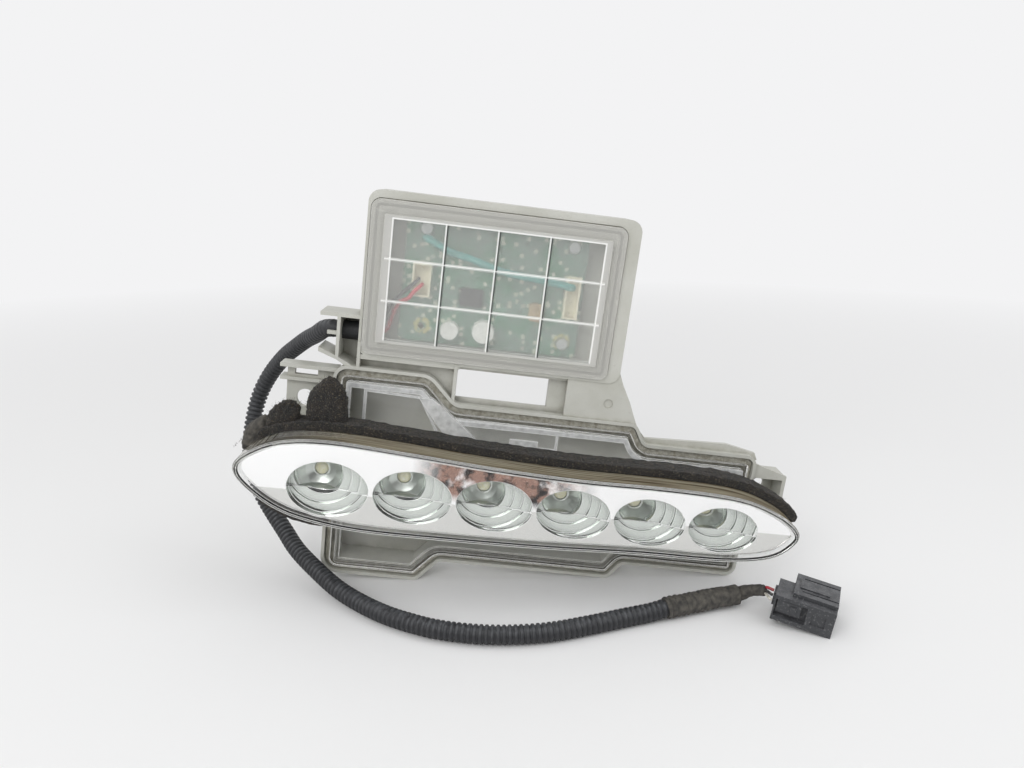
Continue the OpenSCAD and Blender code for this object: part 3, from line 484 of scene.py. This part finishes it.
# The raised forms of the base plate are cloudy, and their rims carry the painted edge highlights.
raised = where(
    tree,
    speckle(tree, place, 3, 4, 0.2, 0.8, 0.3, 0.65),
    (back, BASE_FRONT - 0.4, BASE_FRONT - 0.9),
    (back, *FORMS_FRONTS),
    (height, *FORMS_FROM_LEVELS),
)
coat(tree, raised, put(tree, "BsdfDiffuse", Color="#ecedee"))
nodes["outer_lens"].data.materials[0] = lens_plastic

# Driver cover: clear polycarbonate, injection moulded, hazed by age and glued on all round.
# Painted highlights run as white lines along the grid of ribs and the frame round it, and painted shade
# lies as a dark line along the ribs' right foot.
RIBS_UPRIGHT = (-48.05, -20.75, 6.55)
RIBS_LEVEL = (161.65, 183.85)
RIBS_LEVEL_SIDES = (-79, 37.5)
FRAME_SIDES = (-76.2, 35.6)
FRAME_LEVELS = (140.6, 204.9)
FRAME_EDGE = 0.3
PANE_SIDES = (-80.2, 38.7)
PANE_LEVELS = (139.3, 206.2)


def near(tree, value, centres, half):
    """1 within half a width of any of the centres."""
    total = 0.0
    for centre in centres:
        close = put(tree, "Math", operation="COMPARE", in_0=value, in_1=centre, in_2=half)
        total = put(tree, "Math", operation="MAXIMUM", in_0=close, in_1=total)
    return total


cover_plastic, tree, shader, place = clear_plastic(
    "clear_polycarbonate_cover",
    roughness=0.24,
    veil=0.14,
    tint="#f6f7f6",
    edge_highlight=0.7,
    edge_width=0.5,
)
relief = put(tree, "Bump", Distance=0.05 * MM, Height=speckle(tree, place, 1.5, 3))
give(tree, shader, Normal=relief)
side, _, height = lamp_parts(tree, place)
framed_sides = between(side, (FRAME_SIDES[0] - FRAME_EDGE, FRAME_SIDES[1] + FRAME_EDGE), 0.1)
framed_levels = between(height, (FRAME_LEVELS[0] - FRAME_EDGE, FRAME_LEVELS[1] + FRAME_EDGE), 0.1)
# Outside the frame the cover lies on the sealant and the flange, so little shows through it.
pane = where(tree, 1.0, *between(side, PANE_SIDES, 0.15), *between(height, PANE_LEVELS, 0.15))
flange = put(tree, "BsdfDiffuse", Color=layered(tree, "#c6c5bf", (pane, "#d6d5d1")))
window = where(tree, 1.0, *framed_sides, *framed_levels)
coat(tree, where(tree, 0.5, (window, 1, 0)), flange)
# Painted shade: a dark line along the right foot of each upright rib.
shaded_rib_feet = near(tree, side, [x + 0.45 for x in RIBS_UPRIGHT], 0.4)
painted_rib_shadow = put(tree, "BsdfDiffuse", Color="#3a403c")
coat(tree, where(tree, 0.8, (shaded_rib_feet, 0, 1), *framed_levels), painted_rib_shadow)
# Painted highlights: the white share here lays white lines on the left side of the upright ribs, on the
# level ribs and on the frame.
white = 0.0
for highlight_bars, reach in (
    (near(tree, side, [x - 0.3 for x in RIBS_UPRIGHT], 0.27), framed_levels),
    (near(tree, height, RIBS_LEVEL, 0.3), between(side, RIBS_LEVEL_SIDES, 0.1)),
    (near(tree, side, FRAME_SIDES, 0.38), framed_levels),
    (near(tree, height, FRAME_LEVELS[1:], 0.38), framed_sides),
):
    shown = where(tree, 0.65, (highlight_bars, 0, 1), *reach)
    white = put(tree, "Math", operation="MAXIMUM", in_0=shown, in_1=white)
coat(tree, white, put(tree, "BsdfDiffuse", Color="#fbfbf9"))
nodes["driver_cover"].data.materials[0] = cover_plastic

# Sealant: grey butyl laid warm as a bead in the channels of the lens and the cover.
# It stays soft, so it is dull and uneven, and dirty where it shows.


def mottled(name, first, second, size, detail, **given):
    """A finish with two close tones in patches of a size in millimetres."""
    finish, tree, shader, place = new_finish(name, **given)
    patches = speckle(tree, place, size, detail)
    give(tree, shader, Base_Color=layered(tree, first, (patches, second)))
    return finish, tree, shader, place


butyl, tree, shader, place = mottled("grey_butyl_bead", "#b3b1a6", "#8e8a7c", 3, 5, Roughness=0.7)
relief = put(tree, "Bump", Distance=0.3 * MM, Height=speckle(tree, place, 1.2, 4))
give(tree, shader, Normal=relief)
for name in ("lens_sealant", "cover_sealant"):
    nodes[name].data.materials[0] = butyl

# Reflector: plastic bezel with an evaporated aluminium mirror under clear lacquer.
# Heat has tarnished its upper middle to a mottled copper brown.
FACE_FRONT = -38
CREASE_SLOPE = 0.012
CREASE_LEVELS = (66.6, 66.1)
TARNISH_LEFT = (-52, -36)
TARNISH_RIGHT = (46, 18)
TARNISH_FROM_LEVELS = (67, 72)
BOWLS_BEHIND = (-34, -28)
mirror, tree, shader, place = new_finish("evaporated_aluminium_mirror", Metallic=1.0, Roughness=0.05)
side, back, height = lamp_parts(tree, place)
face_only = (back, FACE_FRONT + 0.4, FACE_FRONT)
tarnish = where(
    tree,
    speckle(tree, place, 9, 5, 0.28, 0.46),
    (side, *TARNISH_LEFT),
    (side, *TARNISH_RIGHT),
    (height, *TARNISH_FROM_LEVELS),
    face_only,
)
tarnish_tone = layered(tree, "#9c7b6e", (speckle(tree, place, 5, 3, 0.45, 0.6), "#2a2424"))
# The bezel has an upper and a lower facet that meet in a crease through the cups, and painted shade gives
# the lower facet a greyer tone.
crease = put(tree, "Math", operation="MULTIPLY_ADD", in_0=side, in_1=-CREASE_SLOPE, in_2=height)
lower_facet_shade = where(tree, 1.0, face_only, (crease, *CREASE_LEVELS))
# Every edge is a little round, and a painted highlight turns it into a white line, in its colour and in a
# white diffuse skin.
rounded = put(tree, "Bevel", samples=8, Radius=0.6 * MM)
painted_edge_highlight = where(tree, 1.0, (edge_turn(tree, rounded), 0.98, 0.88))
# Inside the cups painted shade greys the step walls and darkens them where the steps see one another, and
# the painted edge highlights keep their edges white.
inner = put(tree, "AmbientOcclusion", samples=8, only_local=True, Distance=9 * MM)
tone = layered(
    tree,
    "#ffffff",
    (lower_facet_shade, "#dcdcd9"),
    (where(tree, 1.0, (back, FACE_FRONT + 0.8, FACE_FRONT + 1.2)), "#d2d7d2"),
    (where(tree, 1.0, (inner.outputs["AO"], 0.9, 0.25)), "#868c86"),
    (tarnish, tarnish_tone),
    (painted_edge_highlight, "#ffffff"),
)
# The bowls are satin behind the steps, so the chip and the steps blur in them.
satin = put(
    tree,
    "MapRange",
    Value=back,
    From_Min=BOWLS_BEHIND[0],
    From_Max=BOWLS_BEHIND[1],
    To_Min=0.06,
    To_Max=0.3,
)
rough = put(tree, "Mix", data_type="FLOAT", in_0=painted_edge_highlight, in_2=satin, in_3=0.25)
give(tree, shader, Base_Color=tone, Roughness=rough, Normal=rounded)
# Painted highlight: a white diffuse skin over the rounded edges.
painted_highlight_skin = put(tree, "BsdfDiffuse", Color="#ffffff", Normal=rounded)
coat(tree, where(tree, 0.75, (painted_edge_highlight, 0, 1)), painted_highlight_skin)
nodes["reflector"].data.materials[0] = mirror

# Light chips: yellow phosphor cast in clear silicone, soldered to the board behind the cups.
# Unlit, the phosphor is a pale, faintly glossy yellow.
phosphor, *_ = mottled("yellow_phosphor_chip", "#fdfbe6", "#f4efc4", 0.8, 2, Roughness=0.3)
for k in range(1, 7):
    nodes[f"led_{k}"].data.materials[0] = phosphor

# Circuit boards: glass-epoxy under green solder mask, with traces showing as paler lines.
# Chip resistors and capacitors stand on them, too small to be pieces of their own.
BOARD_FRONT = 11
TRACE_SPACING = 3.0
CHIP_SPACING = 3.4
STAR_PADS = ((-57.3, 148.4), (20.2, 147.9))
STAR_RADII = (2.2, 4.6)
solder_mask, tree, shader, place = new_finish("green_solder_mask_board", Roughness=0.35)
traces = put(tree, "TexVoronoi", feature="DISTANCE_TO_EDGE", Vector=place, Scale=1 / TRACE_SPACING)
lines = where(tree, 1.0, (traces.outputs["Distance"], 0.09, 0.05))
chips = put(
    tree,
    "TexVoronoi",
    Vector=place,
    Scale=1 / CHIP_SPACING,
    distance="CHEBYCHEV",
    Randomness=0.8,
)
chip_body = (chips.outputs["Distance"], 0.34, 0.26)
kind = put(tree, "SeparateXYZ", in_0=chips.outputs["Color"]).outputs
ground = layered(
    tree,
    "#2b6c4c",
    (speckle(tree, place, 14, 3, 0.36, 0.56), "#64796f"),
    (where(tree, 0.35, (lines, 0, 1)), "#6ba88a"),
    (where(tree, 0.8, chip_body, (kind[1], 0.5, 0.52)), "#27322d"),
    (where(tree, 0.75, chip_body, (kind[0], 0.5, 0.52)), "#c9cbb8"),
)
# Star-shaped gold pads lie round the two lower screw holes.
for pad_x, pad_z in STAR_PADS:
    spot = lamp(pad_x, BOARD_FRONT, pad_z) / MM
    gap = put(tree, "VectorMath", operation="DISTANCE", in_0=place, in_1=spot)
    points = speckle(tree, place, 1.6, 1, 0.42, 0.5)
    star = where(tree, points, *between(gap, STAR_RADII, 0.3))
    ground = layered(tree, ground, (star, "#b5ad72"))
relief = put(tree, "Bump", Distance=0.04 * MM, Height=lines)
give(tree, shader, Base_Color=ground, Normal=relief)
for name in ("driver_board", "led_board"):
    nodes[name].data.materials[0] = solder_mask

# Metal parts: zinc-plated steel screws, a bare cast aluminium heat sink and drawn capacitor cans.
# The zinc is bright, the casting dull and grained, and the cans are pale and half dulled.
zinc, *_ = mottled("zinc_plated_screw", "#d6d8d8", "#b9bcbe", 1, 4, Metallic=1.0, Roughness=0.35)
for name in ("board_screw_1", "board_screw_2", "board_screw_3", "sink_screw_1", "sink_screw_2"):
    nodes[name].data.materials[0] = zinc
cast, tree, shader, place = mottled(
    "cast_aluminium_bare", "#c2c4c5", "#a2a5a8", 2, 5, Metallic=1.0, Roughness=0.55
)
relief = put(tree, "Bump", Distance=0.08 * MM, Height=speckle(tree, place, 0.6, 3))
give(tree, shader, Normal=relief)
nodes["heat_sink"].data.materials[0] = cast
can, *_ = mottled("drawn_aluminium_can", "#f2f2ee", "#dededa", 2, 3, Metallic=0.3, Roughness=0.4)
for name in ("capacitor_1", "capacitor_2"):
    nodes[name].data.materials[0] = can

# Small moulded parts: nylon headers, an epoxy chip and a ferrite choke on the driver board,
# the wires and the ribbon that lead to it, and the rubber vent cap and grommet.
for colour, dark, gloss, title, names in (
    ("#efe9d2", "#d9d2b8", 0.4, "natural_nylon_header", ("input_header", "output_header")),
    ("#2a2c30", "#1e2023", 0.45, "black_epoxy_package", ("driver_ic",)),
    ("#b59c74", "#94805f", 0.6, "tan_ferrite_choke", ("inductor",)),
    ("#d3263a", "#b01e30", 0.4, "red_pvc_board_wire", ("input_wire_red",)),
    ("#2a2b2e", "#1c1d1f", 0.4, "black_pvc_board_wire", ("input_wire_black",)),
    ("#4f9f98", "#3f8a84", 0.4, "teal_ribbon_lead", ("led_lead",)),
    ("#26282b", "#1b1c1e", 0.6, "black_rubber_moulded", ("vent_cap", "cable_grommet")),
):
    finish, tree, shader, place = mottled(title, colour, dark, 1.5, 4, Roughness=gloss)
    relief = put(tree, "Bump", Distance=0.03 * MM, Height=speckle(tree, place, 0.3, 2))
    give(tree, shader, Normal=relief)
    for name in names:
        nodes[name].data.materials[0] = finish

# Foam seals: open-cell felted foam stuck round the side wall of the lens, dark with road dirt.
# One strip runs along the top and a short one along the bottom, 5 mm thick.
LEAF = (
    (-142, 75), (-137, 66), (-122, 55.5), (-104, 49.5), (-75, 46), (-30, 46), (20, 47), (70, 49.3),
    (115, 50.2), (140, 54.5), (152, 64), (152, 72), (140, 80), (118, 86.5), (80, 88), (35, 87.5),
    (-10, 89), (-55, 92), (-95, 94), (-120, 91), (-136, 83),
)
STRIP_THICK = 5
STRIP_GAP = 0.3
TOP_DEPTHS = (-27, -13)
TOP_FROM = -133.6
TOP_ABOVE = 75
TIP_FROM = 100
TIP_ABOVE = 70
LOW_DEPTHS = (-35, -23)
LOW_REACH = (-131, -92)
LOW_BELOW = 62


def closed_curve(points, per_span):
    """Smooth closed line through flat points."""
    points = [Vector(p) for p in points]
    out = []
    for i in range(len(points)):
        around = [points[(i + k) % len(points)] for k in (-1, 0, 1, 2)]
        out += [curve_point(*around, k / per_span) for k in range(per_span)]
    return out


def leaf_line(outwards, per_span=14):
    """The lens outline, moved outwards by a distance in millimetres."""
    points, count = [Vector(p) for p in LEAF], len(LEAF)
    moved = []
    for i in range(count):
        u = (points[i] - points[i - 1]).normalized()
        v = (points[(i + 1) % count] - points[i]).normalized()
        n1, n2 = Vector((-u.y, u.x)), Vector((-v.y, v.x))
        moved.append(points[i] - (n1 + n2) * outwards / (1 + n1.dot(n2)))
    return closed_curve(moved, per_span)


felt, tree, shader, place = new_finish(
    "open_cell_foam_dirty", Roughness=0.97, Sheen_Weight=0.12, Sheen_Roughness=0.6
)
# The cells are drawn about 0.7 mm wide, coarser than in life, so that they show.
cells = speckle(tree, place, 0.7, 4, 0.3, 0.7)
tone = layered(
    tree,
    "#0f0d0b",
    (speckle(tree, place, 6, 4, 0.35, 0.7), "#352c22"),
    (where(tree, 0.75, (cells, 1, 0)), "#0b0a09"),
    (speckle(tree, place, 0.8, 3, 0.56, 0.72), "#6b6250"),
)
relief = put(tree, "Bump", Distance=1.0 * MM, Height=cells)
give(tree, shader, Base_Color=tone, Normal=relief)


def fuzzy(p, amount):
    """Uneven height of felted foam at a point in millimetres: lumps of 1.8 mm, with finer ones."""
    return amount * (noise.noise(p * 0.55) + 0.6 * noise.noise(p * 0.55 * 2.7))


def foam_strip(name, keep, depths):
    """Strip round the leaf where keep(x, z) holds, with a felted surface and slimmer ends."""
    inner, outer = leaf_line(STRIP_GAP), leaf_line(STRIP_THICK)
    chosen = [i for i in range(len(inner)) if keep(inner[i].x, inner[i].y)]
    gap = next((k for k in range(1, len(chosen)) if chosen[k] - chosen[k - 1] > 1), 0)
    chosen = chosen[gap:] + chosen[:gap]
    across, deep = 5, 14
    section = (
        [(0, k / deep) for k in range(deep)]
        + [(k / across, 1) for k in range(across)]
        + [(1, 1 - k / deep) for k in range(deep)]
        + [(1 - k / across, 0) for k in range(across)]
    )
    verts = []
    for order, i in enumerate(chosen):
        from_end = min(order, len(chosen) - 1 - order)
        slim = min(1.0, 0.55 + from_end / 8)
        for out_share, y_share in section:
            flat = inner[i].lerp(outer[i], out_share * slim)
            p = Vector((flat.x, depths[0] + (depths[1] - depths[0]) * y_share, flat.y))
            push = (outer[i] - inner[i]).normalized() * out_share
            p += Vector((push.x, 0, push.y)) * (fuzzy(p, 0.7) - 0.4)
            p.y += (y_share - 0.5) * (fuzzy(p + Vector((9, 9, 9)), 1.0) - 0.6)
            verts.append(lamp(*p))
    faces = ring_faces(len(chosen), len(section), turned_over=True)
    return add_piece(name, verts, faces, felt)


def along_top(x, z):
    """The upper strip: from the left pads over the top to the right tip."""
    return z > (TIP_ABOVE if x > TIP_FROM else TOP_ABOVE) and x > TOP_FROM


def along_bottom(x, z):
    """The lower strip: a short one under the left end."""
    return z < LOW_BELOW and LOW_REACH[0] < x < LOW_REACH[1]


seal = foam_strip("foam_strip_top", along_top, TOP_DEPTHS)
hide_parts("foam_seal")
seal_low = foam_strip("foam_strip_low", along_bottom, LOW_DEPTHS)
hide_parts("foam_seal_low")

# Foam pads and taped tip: two pads of the same foam stand up from the lens at its left end,
# and cloth tape is wrapped round the tip of the lens beside them.
TALL_PAD = (
    (-110, 92), (-99, 91), (-89.4, 93), (-89, 107), (-90.5, 114.2), (-94.5, 119.4), (-99.9, 122.3),
    (-104.9, 118.4), (-109.8, 111.6), (-111.2, 104),
)
LOW_PAD = (
    (-131, 87), (-122, 90), (-115, 92), (-113.6, 102.8), (-115.8, 106), (-119, 107.2),
    (-123.5, 106.2), (-127.3, 103.2), (-131, 97.2),
)
TAPED_TIP = (
    (-144, 76), (-135, 79), (-130, 84), (-127.6, 88), (-129.4, 92.4), (-133.4, 96), (-140.6, 91),
    (-143.4, 86),
)
PAD_DEPTHS = (-24, -17)
TIP_DEPTHS = (-22, -10)
PAD_LEVELS = 22


def centre_of(rim):
    """The middle of a closed outline."""
    return sum(rim, Vector((0, 0))) / len(rim)


def pad(name, points, depths, finish, rough):
    """Rounded pad: an outline closed by two domed faces, with a felted or creased surface."""
    rim = closed_curve(points, 8)
    centre = centre_of(rim)
    middle, half = (depths[0] + depths[1]) / 2, (depths[1] - depths[0]) / 2
    verts = []
    for level in range(PAD_LEVELS + 1):
        turn = math.pi * level / PAD_LEVELS
        reach = math.sin(turn) ** 0.45
        for q in rim:
            flat = centre.lerp(q, max(0.02, reach))
            p = Vector((flat.x, middle - half * math.cos(turn), flat.y))
            out = Vector((q.x - centre.x, 0, q.y - centre.y)).normalized() * reach
            p += out * (fuzzy(p, rough) - rough * 0.5)
            p.y += -math.cos(turn) * fuzzy(p + Vector((5, 0, 5)), rough)
            verts.append(lamp(*p))
    return add_piece(name, verts, ring_faces(PAD_LEVELS + 1, len(rim)), finish)


pad_tall = pad("foam_pad_upright", TALL_PAD, PAD_DEPTHS, felt, 0.9)
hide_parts("foam_pad_tall")
pad_low = pad("foam_pad_leaning", LOW_PAD, PAD_DEPTHS, felt, 0.9)
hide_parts("foam_pad_low")
taped = pad("tape_round_tip", TAPED_TIP, TIP_DEPTHS, cloth_tape, 0.7)
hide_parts("tape_wrap")

# Loose fibres: torn ends of the foam that stand off the pads and the strip, thinner than a hair
# in life and drawn 0.12 mm thick so that they show.
FIBRE_HALF = 0.06
FIBRE_RINGS = 4
fibre, *_ = mottled("loose_foam_fibre", "#2b2620", "#5a4f3f", 4, 3, Roughness=0.95)
draw = random.Random(7)


def fibres(name, count, start, lean, length_range):
    """Short bent fibres; start gives a point in the lamp's millimetres and a direction."""
    verts, faces = [], []
    for _ in range(count):
        p, way = start()
        long = draw.uniform(*length_range)
        bend = Vector((draw.uniform(-1, 1), draw.uniform(-1, 1), draw.uniform(-1, 1))) * lean
        faces += [[len(verts) + v for v in face] for face in ring_faces(FIBRE_RINGS, 3)]
        for k in range(FIBRE_RINGS):
            share = k / (FIBRE_RINGS - 1)
            q = p + way * long * share + bend * long * share * share
            thin = FIBRE_HALF * (1 - 0.7 * share)
            for a, b in ((-1, -1), (1, -1), (0, 1)):
                verts.append(lamp(q.x + a * thin, q.y + b * thin, q.z + a * b * thin))
    return add_piece(name, verts, faces, fibre)


def on_pad(points):
    """Starts spread over the front of a pad, more of them near its rim."""
    rim = closed_curve(points, 6)
    centre = centre_of(rim)

    def start():
        q = draw.choice(rim)
        share = draw.uniform(0.25, 1.0) ** 0.5
        flat = centre.lerp(q, share)
        y = PAD_DEPTHS[0] + 0.5 + 3.2 * share**6
        way = Vector((flat.x - centre.x, -2.0, flat.y - centre.y + 6)).normalized()
        return Vector((flat.x, y, flat.y)), way

    return start


def on_strip():
    """Starts along the outer face of the top strip."""
    q = draw.choice(strip_edge)
    p = Vector((q.x, draw.uniform(TOP_DEPTHS[0], TOP_DEPTHS[1] - 1), q.y))
    return p, Vector((draw.uniform(-1, 1), -0.6, 1.0)).normalized()


fibres("fibres_pad_upright", 420, on_pad(TALL_PAD), 0.35, (1.0, 2.6))
fibres("fibres_pad_leaning", 300, on_pad(LOW_PAD), 0.35, (1.0, 2.4))
strip_edge = [q for q in leaf_line(4.6) if q.y > 78]
fibres("fibres_strip_top", 700, on_strip, 0.4, (0.5, 1.4))

# Floor and light: a plain pale table in a bright room, one large soft lamp high at the left.
# Far from the lamp the table takes the backdrop's own tone, so no edge shows behind it.
BACKDROP = "#f3f3f4"
TABLE_REACH = 6.0
TABLE_FADES = (450, 1500)
table_top, tree, _, place = new_finish("pale_matt_table", Base_Color="#efefef", Roughness=0.7)
away = put(tree, "VectorMath", operation="LENGTH", in_0=place)
coat(tree, where(tree, 1.0, (away, *TABLE_FADES)), put(tree, "Emission", Color=BACKDROP))
table_mesh = bpy.data.meshes.new("table")
corners = [(x * TABLE_REACH, y * TABLE_REACH, 0) for x, y in ((-1, -1), (1, -1), (1, 1), (-1, 1))]
table_mesh.from_pydata(corners, [], [(0, 1, 2, 3)])
table_mesh.materials.append(table_top)
table = bpy.data.objects.new("table", table_mesh)
scene.collection.objects.link(table)

world = bpy.data.worlds.new("bright_room")
scene.world = world
world.use_nodes = True
tree = world.node_tree
tree.nodes.clear()
ray = put(tree, "LightPath").outputs
_, away, up = put(tree, "SeparateXYZ", in_0=put(tree, "TexCoord").outputs["Generated"]).outputs
# Mirrors show a dark room behind the camera under the bright ceiling.
dark = where(tree, 1.0, (away, -0.2, -0.75), (up, 0.62, 0.38), (up, -0.1, 0.05))
mirrored = layered(tree, "#ffffff", (dark, "#4a4a48"))
glossy, passing = ray["Is Glossy Ray"], ray["Is Transmission Ray"]
sharp = put(tree, "Math", operation="MAXIMUM", in_0=glossy, in_1=passing)
room = layered(tree, "#d8d8d8", (sharp, mirrored), (ray["Is Camera Ray"], BACKDROP))
put(tree, "OutputWorld", Surface=put(tree, "Background", Color=room))

for name, place, size, power, tint in (
    ("soft_lamp_left", (-0.8, -1.35, 1.15), 1.2, 15, "#ffffff"),
    ("soft_lamp_right", (1.1, -0.4, 1.3), 1.0, 5, "#fbfcff"),
):
    lamp_data = bpy.data.lights.new(name, "AREA")
    lamp_data.size = size
    lamp_data.energy = power
    lamp_data.color = linear(tint)[:3]
    lamp_object = bpy.data.objects.new(name, lamp_data)
    lamp_object.location = place
    lamp_object.rotation_euler = (-Vector(place)).to_track_quat("-Z", "Y").to_euler()
    scene.collection.objects.link(lamp_object)
